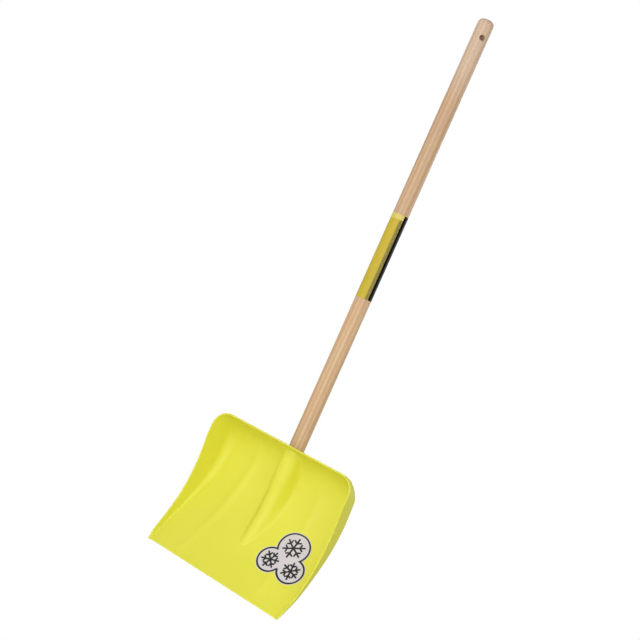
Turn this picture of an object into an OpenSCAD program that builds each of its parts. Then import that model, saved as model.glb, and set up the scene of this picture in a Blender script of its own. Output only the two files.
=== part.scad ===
// Snow pusher for children: a moulded scoop on a round wooden handle.
// Heights are measured up the handle from the front of the bottom edge.
// The origin is the middle of the hang hole, +Z runs up the handle and the scoop opens towards -Y.

/* [Blade] */
// Width across the rim
rim_width = 262; // [230:1:300]
// Width along the bottom edge
edge_width = 254; // [224:1:294]
// Height from the bottom edge to the top of the rim
blade_height = 218; // [206:1:236]
// Thickness of the moulded sheet
sheet = 2.5; // [2:0.1:3.5]
// Distance of the deepest line of the face behind the handle's axis
face_back = 11; // [9:0.5:12.5]
// Radius of the face under the curl
upper_radius = 150; // [135:1:170]
// Radius of the face down to the bottom edge
lower_radius = 480; // [420:5:600]
// Lean of the face where its two radii meet
break_angle = 31; // [28:0.5:33]
// Radius of the curl along the top
curl_radius = 49; // [46:0.5:53]
// Radius of the rim's upper corners, seen from the front
corner_radius = 25; // [20:1:32]

/* [Side walls] */
// Outward lean of the side walls
wall_draft = 10; // [8:0.5:15]
// Radius at the foot of the walls beside the deepest line
foot_radius = 16; // [12:1:20]
// Radius at the foot of the walls beside the bottom edge
low_foot_radius = 3; // [2:0.5:5]
// Radius of the upper corners along the foot, seen from the front
foot_corner = 11; // [8:1:14]
// Height where the side rim starts to bend forward
bend_height = 125; // [110:1:140]
// Radius of the side rim's forward bend
bend_radius = 185; // [170:1:220]
// Extra rise of the rim near the upper corners
corner_rise = 4; // [0:0.5:6]
// Distance of that rise's middle below the top of the rim
rise_drop = 35; // [25:1:45]
// Reach of that rise up and down from its middle
rise_reach = 50; // [40:1:60]
// Least height of the side walls, near the bottom edge
lip_height = 4; // [2:0.5:8]
// Height over which the side walls sink to the bottom edge
lip_fade = 14; // [8:1:30]
// Share of the side walls' height that is left at the bottom edge
lip_end = 0.3; // [0.2:0.05:1]
// Height over which the sides draw in to the bottom edge
draw_in_height = 40; // [25:1:60]

/* [Socket and ridge] */
// Thickness of the socket's wall round the handle
socket_wall = 2.7; // [2.3:0.1:3.5]
// Gap between the handle and the socket, on the radius
socket_clearance = 0.15; // [0.05:0.05:0.3]
// Distance of the socket's mouth below the top of the rim
mouth_drop = 8; // [6:0.5:10]
// Thickness of the ridge over the socket's front
ridge_cover = 0.3; // [0.2:0.1:1]
// Height of the ridge's tip on the face
tip_height = 53; // [45:1:65]
// Radius of the ridge's crest at its tip
tip_round = 10; // [8:0.5:12]
// Slope of the ridge's lower flanks from the face
flank_slope = 50; // [45:1:60]
// Slope of the ridge's flanks beside the socket
socket_slope = 68; // [62:1:78]
// Height above which the flanks steepen towards the socket
slope_height = 90; // [75:1:110]
// Power of the crest's fall to the tip: 1 is straight, less is fuller
ridge_fullness = 0.75; // [0.65:0.05:1]

/* [Handle] */
// Diameter of the handle
handle_diameter = 25; // [23:0.5:27]
// Length of the handle
handle_length = 751; // [600:1:1000]
// Length of the handle inside the socket
handle_seat = 45; // [40:1:50]
// Radius of the rounded top end
end_radius = 7.5; // [4:0.5:11]
// Lead-in chamfer at the lower end
lead_in = 1.5; // [0.5:0.5:3]
// Diameter of the hang hole
hang_diameter = 9; // [6:0.5:12]
// Distance of the hang hole from the top end
hang_distance = 29.5; // [18:0.5:40]
// Turn of the hang hole from straight ahead, towards +X
hang_turn = 45; // [0:5:90]

/* [Label and sticker] */
// Length of the label along the handle
label_length = 137; // [60:1:200]
// Distance of the label's upper end from the top of the handle
label_distance = 318; // [120:1:340]
// Thickness of the printed film
film = 0.2; // [0.1:0.05:0.4]
// Layer of adhesive under the film
adhesive = 0.05; // [0.03:0.01:0.1]
// Sideways place of the sticker's middle on the face
sticker_x = 72; // [66:1:76]
// Height of the sticker's middle on the face
sticker_height = 70; // [64:1:76]
// Radius of the sticker's upper lobe
lobe_radius = 27; // [24:1:29]
// Distance of the upper lobe above the sticker's middle
lobe_rise = 16; // [12:1:18]
// Radius of the sticker's two lower lobes
small_lobe_radius = 22; // [20:1:24]
// Distance of the lower lobes below the sticker's middle
lobe_drop = 17; // [14:1:18]
// Distance of the lower lobes either side of the sticker's middle
lobe_spread = 19; // [16:1:20]

/* [Fixing screw] */
// Diameter of the screw
screw_diameter = 4; // [3:0.5:5]
// Length of the screw under its head
screw_length = 20; // [14:1:22]
// Diameter of the screw's head
screw_head = 8; // [7:0.5:10]
// Height of the screw's head
screw_head_height = 2.8; // [2:0.2:4]
// Inward taper of the head's side
head_taper = 1; // [0.2:0.1:1.2]
// Width of each slot of the cross recess
drive_width = 1; // [0.6:0.1:1.4]
// Length of each slot of the cross recess
drive_length = 4; // [3:0.2:4.4]
// Depth of the cross recess
drive_depth = 1.4; // [1:0.1:1.8]
// Distance of the screw below the socket's mouth
screw_drop = 24; // [16:1:30]
// Clearance round the screw's shank
screw_clearance = 0.1; // [0.05:0.05:0.3]
// Rise of the screw's boss above the socket
boss_rise = 1.5; // [1:0.1:2.2]
// Wall of the boss outside the screw's head
boss_wall = 1.5; // [1:0.1:2.5]

/* [Hidden] */
$fn = 96;

// Steps along a side, round a corner and across a wall of the moulded sheet
side_steps = 18;
corner_steps = 7;
foot_steps = 5;
wall_steps = 9;
// Steps along the sticker's curved film, and the depth of its outline's prism either way
film_steps = 28;
prism_depth = 12;
// Sections of the ridge below the socket and above the deepest line, and steps along half of the crest's arc
ridge_steps = 10;
curl_rows = 4;
crest_steps = 8;
// Share of the ridge's length at the last section of the ridge and of the hollow behind it
ridge_end = 0.005;
hollow_end = 0.15;
// Least length of a flank, which lies buried in the sheet near the tip
flank_least = 0.2;
// Depth to which the ridge's flanks run into the sheet, and the hollow's through it
ridge_bury = sheet / 2;
hollow_bury = 3 * sheet;
// Length by which a cut runs past the faces that it opens
over = 1;

// Heights and depths that follow from the sizes above
inner_top = blade_height - sheet;
inner_corner = corner_radius - sheet;
deep_height = inner_top - curl_radius;
rim_y = face_back - curl_radius;
break_height = deep_height - upper_radius * sin(break_angle);
break_y = face_back - upper_radius * (1 - cos(break_angle));
handle_radius = handle_diameter / 2;
bore_radius = handle_radius + socket_clearance;
socket_radius = bore_radius + socket_wall;
ridge_radius = socket_radius + ridge_cover;
mouth_height = blade_height - mouth_drop;
seat_height = mouth_height - handle_seat;
full_height = seat_height - 2 * socket_wall;
handle_top = seat_height + handle_length;
hang_height = handle_top - hang_distance;
screw_height = mouth_height - screw_drop;
boss_y = socket_radius + boss_rise;
boss_radius = screw_head / 2 + boss_wall;
shank_radius = screw_diameter / 2 + screw_clearance;
sticker_half = max(lobe_radius, lobe_spread + small_lobe_radius) + over;

// Depth of the face at a height: two tangent arcs, upright at the deepest line
function face_y(h) =
    h >= deep_height ? face_back :
    h >= break_height ? face_back - upper_radius + sqrt(pow(upper_radius, 2) - pow(deep_height - h, 2)) :
    break_y - lower_radius * cos(break_angle)
        + sqrt(pow(lower_radius, 2) - pow(lower_radius * sin(break_angle) + break_height - h, 2));

// Depth of the curl's middle at a height, and the height where it crosses the handle's axis
function curl_y(h) = face_back - curl_radius + sqrt(pow(curl_radius, 2) - pow(h - deep_height, 2));
axis_height = deep_height + sqrt(pow(curl_radius, 2) - pow(curl_radius - face_back, 2));

// Lean of the face at a height, from the handle's axis
function face_lean(h) =
    h >= deep_height ? 0 :
    h >= break_height ? asin((deep_height - h) / upper_radius) :
    asin(sin(break_angle) + (break_height - h) / lower_radius);

// Forward bend of the side rim and its swell at the upper corner
function rim_bend(h) =
    h >= bend_height ? 0 : bend_radius - sqrt(pow(bend_radius, 2) - pow(bend_height - h, 2));
function rim_swell(h) =
    let (off = h - blade_height + rise_drop)
    abs(off) >= rise_reach ? 0 : corner_rise * (1 + cos(180 * off / rise_reach)) / 2;

// Rise of the wall above the face, which sinks to the bottom edge, and the half width inside the rim, at a height
function lip_share(h) = lip_end + (1 - lip_end) * eased(h / lip_fade);
function wall_rise(h) = max(lip_height, face_y(h) - rim_y + rim_bend(h) + rim_swell(h)) * lip_share(h);
function rim_x(h) =
    rim_width / 2 - sheet - (rim_width - edge_width) / 2 * pow(max(0, 1 - h / draw_in_height), 2);

// A wall's section at a height: an arc off the face and then a straight leaning wall, out and up
foot_turn = 90 - wall_draft;
function foot_arc(h) =
    min(low_foot_radius + (foot_radius - low_foot_radius) * pow(min(1, h / deep_height), 2), wall_rise(h));
function foot_end(h) = foot_arc(h) * [sin(foot_turn), 1 - cos(foot_turn)];
function wall_reach(h) = foot_end(h)[0] + (wall_rise(h) - foot_end(h)[1]) / tan(foot_turn);
function side_section(h, k) =
    k <= foot_steps
        ? let (a = foot_turn * k / foot_steps) foot_arc(h) * [sin(a), 1 - cos(a)]
        : let (f = (k - foot_steps) / (wall_steps - foot_steps))
            foot_end(h) * (1 - f) + [wall_reach(h), wall_rise(h)] * f;
// The curl's section with a rise of 1: a quarter circle
function curl_section(k) = let (a = 90 * k / wall_steps) [sin(a), 1 - cos(a)];

// Outlines of the rim and of the walls' foot, up the left side and round the corner to the top
rim_corner_height = inner_top - inner_corner;
foot_corner_height = deep_height - foot_corner;
function foot_x(h) = rim_x(h) - wall_reach(h);
function rim_point(i) =
    i <= side_steps
        ? let (h = rim_corner_height * i / side_steps) [-rim_x(h), h]
        : let (a = 90 * (i - side_steps) / corner_steps)
            [-rim_x(rim_corner_height) + inner_corner * (1 - cos(a)),
                rim_corner_height + inner_corner * sin(a)];
function foot_point(i) =
    i <= side_steps
        ? let (h = foot_corner_height * i / side_steps) [-foot_x(h), h]
        : let (a = 90 * (i - side_steps) / corner_steps)
            [-foot_x(foot_corner_height) + foot_corner * (1 - cos(a)),
                foot_corner_height + foot_corner * sin(a)];
// How far a place on the outline belongs to the curl: 0 on the sides, 1 along the top
function curl_share(i) = eased((i - side_steps) / corner_steps);
function eased(f) = let (g = min(1, max(0, f))) g * g * (3 - 2 * g);

// A point of the sheet's front on the left half, step i along the outline and step k across the wall
rows = side_steps + corner_steps;
function front_left(i, k) =
    let (share = curl_share(i), foot = foot_point(i), rim = rim_point(i))
    let (side = side_section(rim[1], k), curl = curl_section(k))
    let (out = side[0] / wall_reach(rim[1]) * (1 - share) + curl[0] * share)
    let (up = side[1] * (1 - share) + wall_rise(rim[1]) * curl[1] * share)
    let (p = foot + (rim - foot) * out)
    [p[0], face_y(p[1]) - up, p[1]];
function mirrored(p) = [-p[0], p[1], p[2]];
function unit(v) = v / norm(v);
// A four-cornered patch as two triangles, turned over where flip is true
function patch(a, b, c, d, flip) = flip ? [[a, c, b], [a, d, c]] : [[a, b, c], [a, c, d]];

// Forward direction of the face, and of the sheet by differences across the wall
function face_normal(h) = [0, -cos(face_lean(h)), sin(face_lean(h))];
function sheet_normal(front, i, k) =
    k == 0 ? face_normal(front[i][0][2]) :
    let (along = front[min(i + 1, rows)][k] - front[max(i - 1, 0)][k])
    let (across = front[i][min(k + 1, wall_steps)] - front[i][k - 1])
    unit(cross(i == rows ? [1, 0, 0] : along, across));

// The moulded sheet as one closed surface: left half, right half, front and back
module sheet_shell() {
    front = [for (i = [0 : rows]) [for (k = [0 : wall_steps]) front_left(i, k)]];
    back = [
        for (i = [0 : rows]) [
            for (k = [0 : wall_steps]) front[i][k] - sheet * sheet_normal(front, i, k)
        ]
    ];
    across = wall_steps + 1;
    half = (rows + 1) * across;
    left_front = [for (row = front) each row];
    left_back = [for (row = back) each row];
    points = concat(
        left_front,
        [for (p = left_front) mirrored(p)],
        left_back,
        [for (p = left_back) mirrored(p)]
    );
    // Index of a point: layer 0 front, 1 back; side 0 left, 1 right
    function at(layer, side, i, k) = (2 * layer + side) * half + i * across + k;
    walls = [
        for (layer = [0, 1], side = [0, 1], i = [0 : rows - 1], k = [0 : wall_steps - 1])
            each patch(at(layer, side, i, k), at(layer, side, i, k + 1),
                at(layer, side, i + 1, k + 1), at(layer, side, i + 1, k), layer != side)
    ];
    curl = [
        for (layer = [0, 1], k = [0 : wall_steps - 1])
            each patch(at(layer, 0, rows, k), at(layer, 0, rows, k + 1),
                at(layer, 1, rows, k + 1), at(layer, 1, rows, k), layer == 1)
    ];
    face = [
        for (layer = [0, 1], i = [0 : rows - 1])
            each patch(at(layer, 0, i, 0), at(layer, 0, i + 1, 0),
                at(layer, 1, i + 1, 0), at(layer, 1, i, 0), layer == 1)
    ];
    rim = concat(
        [
            for (side = [0, 1], i = [0 : rows - 1])
                each patch(at(0, side, i, wall_steps), at(1, side, i, wall_steps),
                    at(1, side, i + 1, wall_steps), at(0, side, i + 1, wall_steps), side == 1)
        ],
        patch(at(0, 0, rows, wall_steps), at(1, 0, rows, wall_steps),
            at(1, 1, rows, wall_steps), at(0, 1, rows, wall_steps), false)
    );
    edge = concat(
        [
            for (side = [0, 1], k = [0 : wall_steps - 1])
                each patch(at(0, side, 0, k), at(1, side, 0, k),
                    at(1, side, 0, k + 1), at(0, side, 0, k + 1), side == 1)
        ],
        patch(at(0, 0, 0, 0), at(1, 0, 0, 0), at(1, 1, 0, 0), at(0, 1, 0, 0), true)
    );
    polyhedron(points, concat(walls, curl, face, rim, edge));
}

// The crest stays at the socket's front down to just below its closed end, then falls and narrows to the tip
function ridge_share(h) = min(1, (h - tip_height) / (full_height - tip_height));
function ridge_plane(h) = h > deep_height ? curl_y(h) : face_y(h);
function ridge_rise(h) =
    h > full_height
        ? ridge_radius + ridge_plane(h)
        : (ridge_radius + face_y(full_height)) * pow(ridge_share(h), ridge_fullness);
function ridge_round(h) = tip_round + (ridge_radius - tip_round) * eased(ridge_share(h));
function ridge_slope(h) =
    flank_slope + (socket_slope - flank_slope) * eased((h - slope_height) / (deep_height - slope_height));
function ridge_height(share) = tip_height + (full_height - tip_height) * share;
ridge_heights = concat(
    [for (k = [0 : ridge_steps]) ridge_height(ridge_end + (1 - ridge_end) * k / ridge_steps)],
    [for (k = [0 : curl_rows]) deep_height + (axis_height - deep_height) * k / curl_rows]
);
hollow_heights = concat(
    [for (k = [0 : ridge_steps]) ridge_height(hollow_end + (1 - hollow_end) * k / ridge_steps)],
    [deep_height]
);

// Section of the ridge, set in by a wall: a crest arc between two straight flanks that run on behind the face
function ridge_section(h, inset, bury) =
    let (radius = ridge_round(h) - inset, slope = ridge_slope(h), back = ridge_plane(h) + bury)
    let (rise = ridge_rise(h) - inset + bury)
    let (turn = acos(max(cos(slope), 1 - (rise - flank_least) / radius)))
    let (foot_x = radius * sin(turn) + (rise - radius * (1 - cos(turn))) * cos(slope) / sin(slope))
    [
        [-foot_x, back, h],
        for (k = [-crest_steps : crest_steps])
            let (a = turn * k / crest_steps)
            [radius * sin(a), back - rise + radius * (1 - cos(a)), h],
        [foot_x, back, h]
    ];

// A body through the ridge's sections at the given heights
module ridge_loft(heights, inset, bury) {
    sections = [for (h = heights) ridge_section(h, inset, bury)];
    across = len(sections[0]);
    last = len(heights) - 1;
    sides = [
        for (i = [0 : last - 1], k = [0 : across - 1])
            let (low = i * across, high = low + across, next = (k + 1) % across)
            each patch(low + k, low + next, high + next, high + k, true)
    ];
    bottom = [for (k = [0 : across - 1]) k];
    top = [for (k = [across - 1 : -1 : 0]) last * across + k];
    polyhedron([for (s = sections) each s], concat(sides, [bottom, top]));
}

module blade() color("#d9d53a") from_hang_hole() difference() {
    union() {
        difference() {
            union() {
                sheet_shell();
                ridge_loft(ridge_heights, 0, ridge_bury);
            }
            ridge_loft(hollow_heights, sheet, hollow_bury);
        }
        translate([0, 0, seat_height - socket_wall])
            cylinder(h = handle_seat + socket_wall, r = socket_radius);
        translate([0, 0, screw_height]) rotate([-90, 0, 0]) cylinder(h = boss_y, r = boss_radius);
    }
    translate([0, 0, seat_height]) cylinder(h = handle_seat + mouth_drop, r = bore_radius);
    translate([0, 0, screw_height]) rotate([-90, 0, 0]) cylinder(h = boss_y + over, r = shank_radius);
}

module handle() color("#dcbc98") from_hang_hole() difference() {
    translate([0, 0, seat_height]) {
        translate([0, 0, lead_in]) rotate_extrude() intersection() {
            square([handle_radius, handle_length - lead_in]);
            union() {
                square([handle_radius - end_radius, handle_length - lead_in]);
                square([handle_radius, handle_length - lead_in - end_radius]);
                translate([handle_radius - end_radius, handle_length - lead_in - end_radius])
                    circle(end_radius);
            }
        }
        cylinder(h = lead_in, r1 = handle_radius - lead_in, r2 = handle_radius);
    }
    translate([0, 0, hang_height]) rotate([90, 0, hang_turn])
        cylinder(h = handle_diameter + 2 * over, r = hang_diameter / 2, center = true);
    translate([0, boss_y - screw_length - screw_clearance, screw_height]) rotate([-90, 0, 0])
        cylinder(h = screw_length, r = shank_radius);
}

module handle_label() color("#dcc848") from_hang_hole()
    translate([0, 0, handle_top - label_distance - label_length]) difference() {
        cylinder(h = label_length, r = handle_radius + adhesive + film);
        translate([0, 0, -over]) cylinder(h = label_length + 2 * over, r = handle_radius + adhesive);
    }

// Outline of the sticker: one upper and two lower round lobes
module sticker_outline() {
    translate([0, lobe_rise]) circle(lobe_radius);
    for (side = [-1, 1])
        translate([side * lobe_spread, -lobe_drop]) circle(small_lobe_radius);
}

// Side view of a strip of film on the face, between two heights
film_low = sticker_height - lobe_drop - small_lobe_radius;
film_high = sticker_height + lobe_rise + lobe_radius;
function film_point(k, lift) =
    let (h = film_low + (film_high - film_low) * k / film_steps)
    let (n = face_normal(h))
    [face_y(h) + n[1] * lift, h + n[2] * lift];
film_strip = concat(
    [for (k = [0 : film_steps]) film_point(k, adhesive)],
    [for (k = [film_steps : -1 : 0]) film_point(k, adhesive + film)]
);

module blade_sticker() color("#d6cfd6") from_hang_hole() intersection() {
    translate([sticker_x - sticker_half, 0, 0]) rotate([90, 0, 90])
        linear_extrude(2 * sticker_half) polygon(film_strip);
    translate([sticker_x, face_y(sticker_height), sticker_height])
        rotate([90 - face_lean(sticker_height), 0, 0])
            linear_extrude(2 * prism_depth, center = true) sticker_outline();
}

module fixing_screw() color("#b8bcc0") from_hang_hole() translate([0, boss_y, screw_height]) difference() {
    rotate([-90, 0, 0]) union() {
        cylinder(h = screw_head_height, r1 = screw_head / 2, r2 = screw_head / 2 - head_taper);
        translate([0, 0, -screw_length]) cylinder(h = screw_length, r = screw_diameter / 2);
    }
    for (turn = [0, 90])
        rotate([0, turn, 0])
            translate([-drive_length / 2, screw_head_height - drive_depth, -drive_width / 2])
                cube([drive_length, drive_depth + over, drive_width]);
}

module from_hang_hole() translate([0, 0, -hang_height]) children();

blade();
handle();
handle_label();
blade_sticker();
fixing_screw();
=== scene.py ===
"""Looks of a children's snow pusher: a moulded yellow scoop on a round wooden handle.

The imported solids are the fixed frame, with the hang hole's middle at the origin and +Z up the handle.
Lengths are in metres, and the defaults of the length properties are given in millimetres.
The blade's heights are measured up the handle from the front of its bottom edge."""
import math

import bmesh
import bpy
import numpy as np
from mathutils import Matrix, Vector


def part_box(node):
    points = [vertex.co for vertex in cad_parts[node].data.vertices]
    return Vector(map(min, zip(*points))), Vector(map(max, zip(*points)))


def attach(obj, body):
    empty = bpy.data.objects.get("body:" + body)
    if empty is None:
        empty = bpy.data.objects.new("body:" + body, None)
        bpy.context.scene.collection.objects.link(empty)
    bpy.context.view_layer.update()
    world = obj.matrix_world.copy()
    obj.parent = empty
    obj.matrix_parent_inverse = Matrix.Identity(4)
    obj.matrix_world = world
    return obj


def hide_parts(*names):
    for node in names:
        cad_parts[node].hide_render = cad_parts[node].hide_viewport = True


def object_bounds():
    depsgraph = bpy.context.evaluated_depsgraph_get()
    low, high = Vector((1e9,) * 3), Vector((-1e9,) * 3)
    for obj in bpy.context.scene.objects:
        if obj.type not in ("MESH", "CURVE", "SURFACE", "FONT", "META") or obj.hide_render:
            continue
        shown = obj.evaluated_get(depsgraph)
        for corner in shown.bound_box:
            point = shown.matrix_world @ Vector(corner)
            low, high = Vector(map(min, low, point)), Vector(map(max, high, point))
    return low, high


bl_info = {
    "name": "Snow Pusher",
    "version": (1, 0, 0),
    "blender": (4, 5, 0),
    "location": "View3D > Sidebar > Snow Pusher",
    "description": "Surfaces, finishes and stage of a children's snow pusher, built round its solids",
    "category": "Add Mesh",
}

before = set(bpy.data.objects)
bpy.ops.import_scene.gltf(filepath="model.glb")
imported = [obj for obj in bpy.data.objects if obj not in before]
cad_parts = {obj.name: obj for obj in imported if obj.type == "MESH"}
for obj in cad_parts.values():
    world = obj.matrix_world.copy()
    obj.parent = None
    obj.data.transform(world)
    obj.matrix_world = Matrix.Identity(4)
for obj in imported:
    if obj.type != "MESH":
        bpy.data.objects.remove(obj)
CAD_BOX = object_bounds()
BODY = "root"
MM = 0.001
WELD = 0.001 * MM
LABEL_COLUMNS = 128
HANDLE_LOW, HANDLE_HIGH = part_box("handle")
LABEL_LOW, LABEL_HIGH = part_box("handle_label")
FLOOR_Z = CAD_BOX[0].z


# Values for the property groups
def linear(hex_colour):
    """An sRGB hex colour as linear red, green and blue."""
    srgb = np.array([int(hex_colour[i:i + 2], 16) for i in (1, 3, 5)]) / 255
    return tuple(np.where(srgb <= 0.04045, srgb / 12.92, ((srgb + 0.055) / 1.055) ** 2.4))


def number(name, description, value, **kind):
    """A number property, with its unit if it has one."""
    return bpy.props.FloatProperty(name=name, description=description, default=value, **kind)


def length(name, description, millimetres):
    """A length property."""
    return number(name, description, millimetres * MM, unit="LENGTH", precision=5)


def angle(name, description, degrees):
    """An angle property."""
    return number(name, description, math.radians(degrees), unit="ROTATION")


def colour(name, description, hex_colour):
    """A colour property."""
    return bpy.props.FloatVectorProperty(
        name=name, description=description, default=linear(hex_colour), subtype="COLOR", size=3, min=0, max=1)


class BladeSizes(bpy.types.PropertyGroup):
    """Sizes and colour of the moulded scoop."""

    edge_drop: length("Edge drop", "Distance of the bottom edge's front below the hang hole", 886.5)
    rim_width: length("Rim width", "Width across the rim", 262)
    edge_width: length("Edge width", "Width along the bottom edge", 254)
    blade_height: length("Height", "Height from the bottom edge to the top of the rim", 218)
    sheet: length("Sheet", "Thickness of the moulded sheet", 2.5)
    face_back: length("Face depth", "Deepest line of the face behind the handle's axis", 11)
    upper_radius: length("Upper radius", "Radius of the face under the curl", 150)
    lower_radius: length("Lower radius", "Radius of the face down to the bottom edge", 480)
    break_angle: angle("Break lean", "Lean of the face where its two radii meet", 31)
    curl_radius: length("Curl radius", "Radius of the curl along the top", 49)
    corner_radius: length("Corner radius", "Radius of the rim's upper corners", 25)
    wall_draft: angle("Wall draft", "Outward lean of the side walls", 10)
    foot_radius: length("Foot radius", "Radius at the foot of the walls beside the deepest line", 16)
    low_foot_radius: length("Low foot radius", "Radius at the foot of the walls at the bottom edge", 3)
    foot_corner: length("Foot corner", "Radius of the upper corners along the foot", 11)
    bend_height: length("Bend height", "Height where the side rim starts to bend forward", 125)
    bend_radius: length("Bend radius", "Radius of the side rim's forward bend", 185)
    corner_rise: length("Corner rise", "Extra rise of the rim near the upper corners", 4)
    rise_drop: length("Rise drop", "Middle of that rise below the top of the rim", 35)
    rise_reach: length("Rise reach", "Reach of that rise up and down", 50)
    lip_height: length("Lip height", "Least height of the walls, near the bottom edge", 4)
    lip_fade: length("Lip fade", "Height over which the lip sinks to the bottom edge", 14)
    lip_end: number("Lip end", "Share of the lip's height left at the bottom edge", 0.3)
    draw_in_height: length("Draw-in height", "Height over which the sides draw in to the edge", 40)
    rim_round: length("Rim rounding", "Radius on the edges of the sheet", 1.2)
    ridge_radius: length("Ridge radius", "Outer radius of the socket and its ridge", 15.65)
    crest_height: length("Crest height", "Height down to which the crest stays at the socket's front", 159.6)
    tip_height: length("Tip height", "Height of the ridge's tip on the face", 53)
    tip_round: length("Tip rounding", "Radius of the ridge's crest at its tip", 10)
    flank_slope: angle("Flank slope", "Slope of the ridge's lower flanks from the face", 50)
    socket_slope: angle("Socket slope", "Slope of the ridge's flanks beside the socket", 68)
    slope_height: length("Slope height", "Height above which the flanks steepen towards the socket", 90)
    ridge_fullness: number("Ridge fullness", "Power of the crest's fall to the tip; under 1 is fuller", 0.75)
    ridge_fillet: length("Ridge fillet", "Radius between the ridge and the face at the deepest line", 9)
    tip_fillet: length("Tip fillet", "Radius between the ridge and the face at the tip", 9)
    socket_inset: length("Socket inset", "Socket tube's radius under the ridge's", 0.3)
    bore_radius: length("Bore radius", "Radius of the socket's bore", 12.65)
    mouth_height: length("Mouth height", "Height of the socket's mouth", 210)
    seat_height: length("Seat height", "Height of the bore's bottom", 165)
    socket_floor: length("Socket floor", "Thickness of the socket's closed end", 3)
    socket_round: length("Socket rounding", "Radius round the socket's closed end", 8)
    boss_height: length("Boss height", "Height of the screw's boss", 186)
    boss_radius: length("Boss radius", "Radius of the screw's boss", 5.5)
    boss_back: length("Boss face", "Boss face behind the handle's axis", 16.85)
    rib_top: length("Rib top", "Sideways place of the ribs under the curl", 62.5)
    rib_low: length("Rib low", "Sideways place of the ribs at the bottom edge", 74)
    rib_height: length("Rib height", "Height of the soft ribs on the face", 2.3)
    rib_width: length("Rib width", "Half width of the ribs", 8)
    plastic: colour("Plastic", "Colour of the moulded plastic", "#E2DF45")


class HandleSizes(bpy.types.PropertyGroup):
    """Sizes and colours of the wooden handle."""

    radius: length("Radius", "Radius of the handle", (HANDLE_HIGH.x - HANDLE_LOW.x) / 2 / MM)
    top: length("Top", "Top end above the hang hole", HANDLE_HIGH.z / MM)
    bottom: length("Bottom", "Bottom end, from the hang hole", HANDLE_LOW.z / MM)
    end_radius: length("End radius", "Rounding of the top end", 7.5)
    lead_in: length("Lead-in", "Chamfer at the bottom end", 1.5)
    hang_radius: length("Hole radius", "Radius of the hang hole", 4.5)
    hang_turn: angle("Hole turn", "Turn of the hang hole from straight ahead", 45)
    hole_chamfer: length("Hole chamfer", "Sanded edge of the hang hole", 0.5)
    pale: colour("Pale wood", "Colour of the early wood", "#D6B790")
    rosy: colour("Rosy wood", "Colour of the early wood's pinkish streaks", "#D9AB89")
    dark: colour("Dark wood", "Colour of the late wood", "#C29F78")
    fleck: colour("Fleck", "Colour of the short flecks in the grain", "#AA865E")
    upper_tint: colour("Upper tint", "Tint of the wood towards its upper end", "#EFEFF5")
    # Colour that the top end of the handle is mixed towards, making it paler by height
    paler_top_end: colour("Paler top end", "Paler tone over the top end", "#F1EBE7")


class LabelSizes(bpy.types.PropertyGroup):
    """Sizes and colours of the printed label round the handle."""

    film: length("Film", "Thickness of the film", 0.2)
    strip_start: angle("Strip start", "Turn of the hatched strip's first edge from straight ahead", 35.5)
    strip_end: angle("Strip end", "Turn of the hatched strip's second edge", 61.5)
    dark_end: angle("Dark end", "Turn of the dark field's far edge", 160)
    band: length("Band", "Height of the pale band at the upper end", 8)
    hatch: length("Hatch", "Spacing of the hatched strip's lines", 2.4)
    field: colour("Field", "Colour of the yellow field", "#C4AD3F")
    pale_field: colour("Pale band", "Colour of the band at the upper end", "#D2C46E")
    hatch_dark: colour("Hatch lines", "Dark colour of the hatched strip", "#1E1808")
    hatch_light: colour("Hatch ground", "Light colour of the hatched strip", "#C0B064")
    black: colour("Black", "Colour of the dark field", "#080602")


class StickerSizes(bpy.types.PropertyGroup):
    """Sizes and colours of the die-cut sticker on the scoop's face."""

    middle_x: length("Middle X", "Sideways place of the sticker's middle", 72)
    middle_height: length("Middle height", "Height of the sticker's middle", 70)
    lobe_radius: length("Upper lobe", "Radius of the upper lobe", 27)
    lobe_rise: length("Lobe rise", "Upper lobe above the middle", 16)
    small_lobe_radius: length("Lower lobes", "Radius of the two lower lobes", 22)
    lobe_drop: length("Lobe drop", "Lower lobes below the middle", 17)
    lobe_spread: length("Lobe spread", "Lower lobes either side of the middle", 19)
    adhesive: length("Adhesive", "Layer of adhesive under the film", 0.05)
    film: length("Film", "Thickness of the film", 0.2)
    line: length("Line", "Width of the printed lines", 2.8)
    margin: length("Margin", "Bare film outside the border line", 0.9)
    silver: colour("Silver", "Colour of the film at its margin", "#DDD8DD")
    pale: colour("Pale", "Colour inside the border line", "#D3CCD3")
    ink: colour("Ink", "Colour of the printed lines", "#141214")


class StageSizes(bpy.types.PropertyGroup):
    """Camera, lights and floor."""

    lens: number("Lens", "Focal length in millimetres on a 36 mm sensor", 66.35)
    azimuth: angle("Azimuth", "Camera's turn round the handle from straight ahead", 30)
    elevation: angle("Elevation", "Camera's height above the horizon", 1.46)
    roll: angle("Roll", "Lean of the handle to the right in the picture", 24)
    camera_x: length("Camera X", "Camera's place along X", 847.5)
    camera_y: length("Camera Y", "Camera's place along Y", -1561.2)
    camera_z: length("Camera Z", "Camera's place along Z", -436.3)
    floor_size: length("Floor size", "Side of the floor", 60000)
    ambient: number("Ambient", "Strength of the even light from all sides", 0.22)
    below: number("Below", "Strength of the light that the white floor sends up", 0.96)
    left: number("Left", "Strength of the light from the white wall on the left", 0.66)
    softbox_size: length("Softbox size", "Side of the softboxes", 1200)
    softbox_distance: length("Softbox distance", "Distance of the softboxes from what they light", 2200)
    paper: colour("Paper", "Colour of floor and backdrop", "#FFFFFF")
    warm: colour("Warm", "Colour of the light from below, which the scoop itself has tinted", "#FFFBB0")


GROUPS = {"blade": BladeSizes, "handle": HandleSizes, "label": LabelSizes, "sticker": StickerSizes,
          "stage": StageSizes}


# Meshes and pieces
def quads_of(index, turned=False):
    """Four-cornered faces of a grid of vertex numbers; turned swaps their front and back."""
    corners = [index[:-1, :-1], index[:-1, 1:], index[1:, 1:], index[1:, :-1]]
    faces = np.stack([c.ravel() for c in corners], -1)
    return faces[:, ::-1] if turned else faces


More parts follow.
